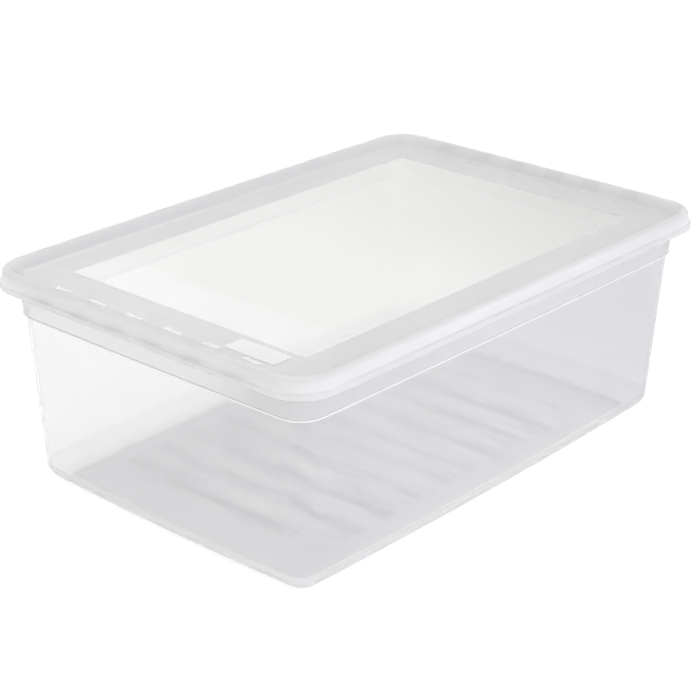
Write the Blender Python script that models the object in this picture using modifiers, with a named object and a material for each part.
"""Stackable lidded storage box for a pair of shoes: a drafted tub and a press-on lid.

Two thin-walled moulded pieces. The tub is a rounded, tapered bin with a raised
collar, an out-turned rim and a ribbed floor. The lid has a channel-section rim
that drops over the tub's rim, round a sunken seat for the box stacked above it.

Frame: origin at the centre of the tub's underside, +X along the long side,
+Y along the short side, +Z up. Metres.
"""
import bpy
import bmesh
import math

MM = 0.001

# ---- overall ----------------------------------------------------------------
LENGTH = 390.0 * MM            # over the lid's edge bead, middle of the short sides
WIDTH = 266.0 * MM             # over the lid's edge bead, middle of the long sides
HEIGHT = 142.4 * MM            # underside of the tub to the crest of the lid's rim
WALL = 1.4 * MM                # both mouldings

# ---- lid's edge in plan: every inset is measured inwards from it --------------
BOW_LONG = 0.7 * MM            # outward swell of a long side at its middle
BOW_SHORT = 0.5 * MM           # outward swell of a short side at its middle
EDGE_X = LENGTH / 2 - BOW_SHORT
EDGE_Y = WIDTH / 2 - BOW_LONG
EDGE_R = 25.8 * MM             # corner radius

# ---- lid --------------------------------------------------------------------
SKIRT_BOTTOM = 130.1 * MM
BEAD_TOP = 133.5 * MM          # edge bead round the foot of the skirt
BEAD_DEPTH = 1.7 * MM          # how far the bead stands proud of the skirt
BEAD_SLOPE = 1.1 * MM          # height of the slope from bead to skirt
SEAT_Z = 136.4 * MM            # sunken seat round the window

# Outer side of the rim, mm: (inwards from the foot of the skirt, below the crest)
CROWN_OUTER = ((0.3, 3.4), (0.8, 1.65), (2.0, 0.45), (3.7, 0.0))
# Inner side of the rim, mm: (inset, below the crest)
CROWN_INNER = ((7.0, 0.4), (8.3, 1.15))
# Foot of the rim's inner slope, mm: (inset, above the seat)
SEAT_EDGE = ((14.8, 0.65), (16.2, 0.1), (17.6, 0.0))

WINDOW_X = 154.0 * MM          # half sizes of the panel inside the seat
WINDOW_Y = 96.4 * MM
WINDOW_R = 1.2 * MM
WINDOW_DROP = 0.3 * MM         # panel below the seat
WINDOW_STEP = 0.3 * MM         # plan width of the slope down to the panel

BLOCKS_PER_SIDE = 6            # catches, and pads, along each short side
BLOCK_PITCH = 31.2 * MM
BLOCK_LENGTH = 14.0 * MM

CATCH_INSET = (2.3 * MM, 4.4 * MM)   # outer and inner face
CATCH_BOTTOM = 131.9 * MM
CATCH_TOP = 135.4 * MM
CATCH_BEVEL = 0.3 * MM

PAD_INSET = (15.8 * MM, 19.2 * MM)   # outer and inner face
PAD_HEIGHT = 1.0 * MM
PAD_TOP = SEAT_Z + 0.25 * MM         # a little proud of the seat
PAD_BEVEL = 0.15 * MM

PLAQUE_SIZE = (15.0 * MM, 38.5 * MM, 1.2 * MM)
PLAQUE_AT = (-166.1 * MM, -71.8 * MM)
PLAQUE_PROUD = 0.4 * MM
PLAQUE_BEVEL = 0.3 * MM

# ---- tub --------------------------------------------------------------------
FOOT_INSET_X = 18.3 * MM       # wall at the top of the bottom fillet
FOOT_INSET_Y = 18.2 * MM
FOOT_R = 15.2 * MM             # corner radius there
FOOT_FILLET = 12.5 * MM
FOOT_BOW_LONG = 2.7 * MM
FOOT_BOW_SHORT = 1.9 * MM

COLLAR_INSET = 11.1 * MM       # collar just under the rim
COLLAR_STEP = 1.9 * MM         # from there in to the wall under the collar
COLLAR_BOTTOM = 112.0 * MM
COLLAR_R = 16.9 * MM           # corner radius of the wall under the collar

RIM_UNDERSIDE = 135.5 * MM
RIM_LIP_INSET = 6.2 * MM       # inner face of the turned-down lip
RIM_LIP_BOTTOM = 132.8 * MM

# Each row in mm: (outwards, upwards, added to COLLAR_R)
COLLAR_SHOULDER = (            # from the wall under the collar, at COLLAR_BOTTOM
    (0.0, -1.2, 0.0),
    (0.45, -0.2, 0.2),
    (1.3, 0.4, 0.3),
    (1.6, 1.5, 0.3),
)
RIM_TURN = (                   # from the collar, at RIM_UNDERSIDE
    (0.0, -1.4, 0.3),
    (0.6, -0.25, 0.9),
    (1.7, 0.0, 1.9),
)
LIP_TURN = (                   # from the lip's inner face, at RIM_UNDERSIDE
    (-0.7, 0.0, 4.2),
    (0.0, -0.6, 4.9),
)
LIP_R = COLLAR_R + LIP_TURN[-1][2] * MM

RIBS_PER_SIDE = 5              # floor ribs either side of the middle
RIB_PITCH = 28.2 * MM
RIB_FIRST = 10.9 * MM          # middle of the box to the centre of the first rib
RIB_SIZE = (5.0 * MM, 172.0 * MM, 1.2 * MM)
RIB_PROUD = 0.6 * MM
RIB_BEVEL = 0.4 * MM

# ---- facets -----------------------------------------------------------------
CORNER_STEPS = 6
LONG_STEPS = 6
SHORT_STEPS = 4
FILLET_STEPS = 5
BEVEL_ANGLE = math.radians(60)     # edges turning more than this are bevelled
SHARP_ANGLE = math.radians(35)     # edges turning more than this are shaded sharp


# ---- scene and materials ----------------------------------------------------
def clear_scene():
    for obj in list(bpy.data.objects):
        bpy.data.objects.remove(obj, do_unlink=True)
    for coll in list(bpy.data.collections):
        bpy.data.collections.remove(coll)


def collection(name):
    coll = bpy.data.collections.new(name)
    bpy.context.scene.collection.children.link(coll)
    return coll


def plastic(name, colour, roughness, alpha):
    mat = bpy.data.materials.new(name)
    mat.use_nodes = True
    settings = {
        "Base Color": (*colour, 1.0),
        "Roughness": roughness,
        "Metallic": 0.0,
        "IOR": 1.49,
        "Alpha": alpha,
    }
    bsdf = mat.node_tree.nodes["Principled BSDF"]
    for socket, value in settings.items():
        bsdf.inputs[socket].default_value = value
    return mat


def clear_plastic():
    return plastic("tub_clear", colour=(0.86, 0.88, 0.89), roughness=0.12, alpha=0.30)


def frosted_plastic():
    return plastic("lid_frosted", colour=(0.84, 0.86, 0.87), roughness=0.32, alpha=0.42)


# ---- lofted shells ----------------------------------------------------------
def outline(half_x, half_y, radius, bow_long, bow_short):
    """A rounded rectangle whose sides swell outwards, anticlockwise from +X."""
    centre_x, centre_y = half_x - radius, half_y - radius
    points = []
    # Each corner is followed by the side that leads to the next one.
    corners = ((1, 1, 0), (-1, 1, 90), (-1, -1, 180), (1, -1, 270))
    for index, (sign_x, sign_y, start) in enumerate(corners):
        for k in range(CORNER_STEPS + 1):
            angle = math.radians(start + 90.0 * k / CORNER_STEPS)
            points.append((sign_x * centre_x + radius * math.cos(angle),
                           sign_y * centre_y + radius * math.sin(angle)))
        along_x = index % 2 == 0
        steps = LONG_STEPS if along_x else SHORT_STEPS
        for k in range(1, steps):
            along = 1.0 - 2.0 * k / steps
            swell = 1.0 - along * along
            if along_x:
                points.append((sign_x * along * centre_x,
                               sign_y * (half_y + bow_long * swell)))
            else:
                points.append((sign_x * (half_x + bow_short * swell),
                               sign_y * along * centre_y))
    return points


def inset_section(inset, z, radius):
    return (EDGE_X - inset, EDGE_Y - inset, radius, BOW_LONG, BOW_SHORT, z)


def turned_sections(profile, inset, z):
    """Tub sections from rows of (outwards, upwards, added to COLLAR_R) in mm."""
    return [inset_section(inset - out * MM, z + up * MM, COLLAR_R + growth * MM)
            for out, up, growth in profile]


def new_object(name, bm, coll):
    mesh = bpy.data.meshes.new(name)
    bm.to_mesh(mesh)
    bm.free()
    obj = bpy.data.objects.new(name, mesh)
    coll.objects.link(obj)
    return obj


def loft(name, sections, cap_first, cap_last, coll):
    """Skins a stack of sections, each (half_x, half_y, radius, bow_long, bow_short, z)."""
    bm = bmesh.new()
    rings = []
    for *plan, z in sections:
        rings.append([bm.verts.new((x, y, z)) for x, y in outline(*plan)])
    count = len(rings[0])
    for lower, upper in zip(rings, rings[1:]):
        for k in range(count):
            following = (k + 1) % count
            bm.faces.new((lower[k], lower[following], upper[following], upper[k]))
    if cap_first:
        bm.faces.new(list(reversed(rings[0])))
    if cap_last:
        bm.faces.new(rings[-1])
    bm.normal_update()
    obj = new_object(name, bm, coll)
    obj.data.shade_smooth()
    return obj


# ---- helper blocks, hidden and joined on by booleans ------------------------
def helper_object(name, bm, coll):
    obj = new_object(name, bm, coll)
    obj.hide_render = True
    obj.display_type = "WIRE"
    return obj


def block(name, size, centre, coll):
    bm = bmesh.new()
    bmesh.ops.create_cube(bm, size=1.0)
    bmesh.ops.scale(bm, vec=size, verts=bm.verts)
    obj = helper_object(name, bm, coll)
    obj.location = centre
    return obj


def row_of_blocks(name, side, insets, bottom, top, coll):
    """Blocks along the short side at -X or +X (side -1 or 1), following its swell."""
    outer, inner = insets
    size = (inner - outer, BLOCK_LENGTH, top - bottom)
    half_run = EDGE_Y - EDGE_R
    bm = bmesh.new()
    for k in range(BLOCKS_PER_SIDE):
        y = BLOCK_PITCH * (k - (BLOCKS_PER_SIDE - 1) / 2)
        swell = BOW_SHORT * (1.0 - (y / half_run) ** 2)
        x = EDGE_X + swell - (outer + inner) / 2
        verts = bmesh.ops.create_cube(bm, size=1.0)["verts"]
        bmesh.ops.scale(bm, vec=size, verts=verts)
        bmesh.ops.translate(bm, vec=(side * x, y, (bottom + top) / 2), verts=verts)
    return helper_object(name, bm, coll)


# ---- modifiers --------------------------------------------------------------
def thicken(obj):
    """Adds the wall behind the lofted face: inside the tub, under the lid."""
    mod = obj.modifiers.new("wall", "SOLIDIFY")
    mod.thickness = WALL
    mod.offset = -1.0
    mod.use_even_offset = True
    mod.use_quality_normals = True


def bevel(obj, width):
    mod = obj.modifiers.new("edges", "BEVEL")
    mod.width = width
    mod.segments = 1
    mod.limit_method = "ANGLE"
    mod.angle_limit = BEVEL_ANGLE


def repeat(obj, count, step):
    mod = obj.modifiers.new("row", "ARRAY")
    mod.count = count
    mod.use_relative_offset = False
    mod.use_constant_offset = True
    mod.constant_offset_displace = step


def join(obj, tool, name):
    mod = obj.modifiers.new(name, "BOOLEAN")
    mod.operation = "UNION"
    mod.solver = "EXACT"
    mod.object = tool


def finish(obj, mat):
    obj.data.materials.append(mat)
    obj.data.set_sharp_from_angle(angle=SHARP_ANGLE)


# ---- tub: drafted wall, stepped collar, turned-down rim ---------------------
def foot_sections():
    """Bottom fillet, from the floor up to the wall."""
    sections = []
    for k in range(FILLET_STEPS, -1, -1):
        angle = math.radians(90.0 * k / FILLET_STEPS)
        pull = FOOT_FILLET * (1.0 - math.cos(angle))
        sections.append((EDGE_X - FOOT_INSET_X - pull, EDGE_Y - FOOT_INSET_Y - pull,
                         FOOT_R - pull, FOOT_BOW_LONG, FOOT_BOW_SHORT,
                         FOOT_FILLET * (1.0 - math.sin(angle))))
    return sections


def tub_sections():
    return [
        *foot_sections(),
        *turned_sections(COLLAR_SHOULDER, COLLAR_INSET + COLLAR_STEP, COLLAR_BOTTOM),
        *turned_sections(RIM_TURN, COLLAR_INSET, RIM_UNDERSIDE),
        *turned_sections(LIP_TURN, RIM_LIP_INSET, RIM_UNDERSIDE),
        inset_section(RIM_LIP_INSET, RIM_LIP_BOTTOM, LIP_R),
    ]


def build_tub(parts, tools):
    tub = loft("tub", tub_sections(), cap_first=True, cap_last=False, coll=parts)
    thicken(tub)
    rib_z = WALL + RIB_PROUD - RIB_SIZE[2] / 2
    for side, name, joint in ((1, "floor_rib", "ribs_right"),
                              (-1, "floor_rib_left", "ribs_left")):
        ribs = block(name, RIB_SIZE, (side * RIB_FIRST, 0.0, rib_z), tools)
        bevel(ribs, RIB_BEVEL)
        repeat(ribs, RIBS_PER_SIDE, (side * RIB_PITCH, 0.0, 0.0))
        join(tub, ribs, joint)
    finish(tub, clear_plastic())


# ---- lid: skirt, bead, crowned rim, sunken seat and window ------------------
def lid_sections():
    profile = [                # (inset, z)
        (0.0, SKIRT_BOTTOM),
        (0.0, BEAD_TOP),
        (BEAD_DEPTH, BEAD_TOP + BEAD_SLOPE),
        *((BEAD_DEPTH + inwards * MM, HEIGHT - drop * MM) for inwards, drop in CROWN_OUTER),
        *((inset * MM, HEIGHT - drop * MM) for inset, drop in CROWN_INNER),
        *((inset * MM, SEAT_Z + rise * MM) for inset, rise in SEAT_EDGE),
    ]
    return [
        *(inset_section(inset, z, EDGE_R - inset) for inset, z in profile),
        (WINDOW_X, WINDOW_Y, WINDOW_R, 0.0, 0.0, SEAT_Z),
        (WINDOW_X - WINDOW_STEP, WINDOW_Y - WINDOW_STEP, WINDOW_R, 0.0, 0.0,
         SEAT_Z - WINDOW_DROP),
    ]


def build_lid(parts, tools):
    lid = loft("lid", lid_sections(), cap_first=False, cap_last=True, coll=parts)
    thicken(lid)
    rows = (                   # (name, insets, bottom, top, bevel width)
        ("catches_", CATCH_INSET, CATCH_BOTTOM, CATCH_TOP, CATCH_BEVEL),
        ("pads_", PAD_INSET, PAD_TOP - PAD_HEIGHT, PAD_TOP, PAD_BEVEL),
    )
    for side, label in ((-1, "near"), (1, "far")):
        for prefix, insets, bottom, top, width in rows:
            name = prefix + label
            blocks = row_of_blocks(name, side, insets, bottom, top, tools)
            bevel(blocks, width)
            join(lid, blocks, name)
    plaque_z = SEAT_Z + PLAQUE_PROUD - PLAQUE_SIZE[2] / 2
    plaque = block("plaque", PLAQUE_SIZE, (*PLAQUE_AT, plaque_z), tools)
    bevel(plaque, PLAQUE_BEVEL)
    join(lid, plaque, "blank_plaque")
    finish(lid, frosted_plastic())


clear_scene()
parts_collection = collection("shoe_box")
tools_collection = collection("cutters")
build_tub(parts_collection, tools_collection)
build_lid(parts_collection, tools_collection)
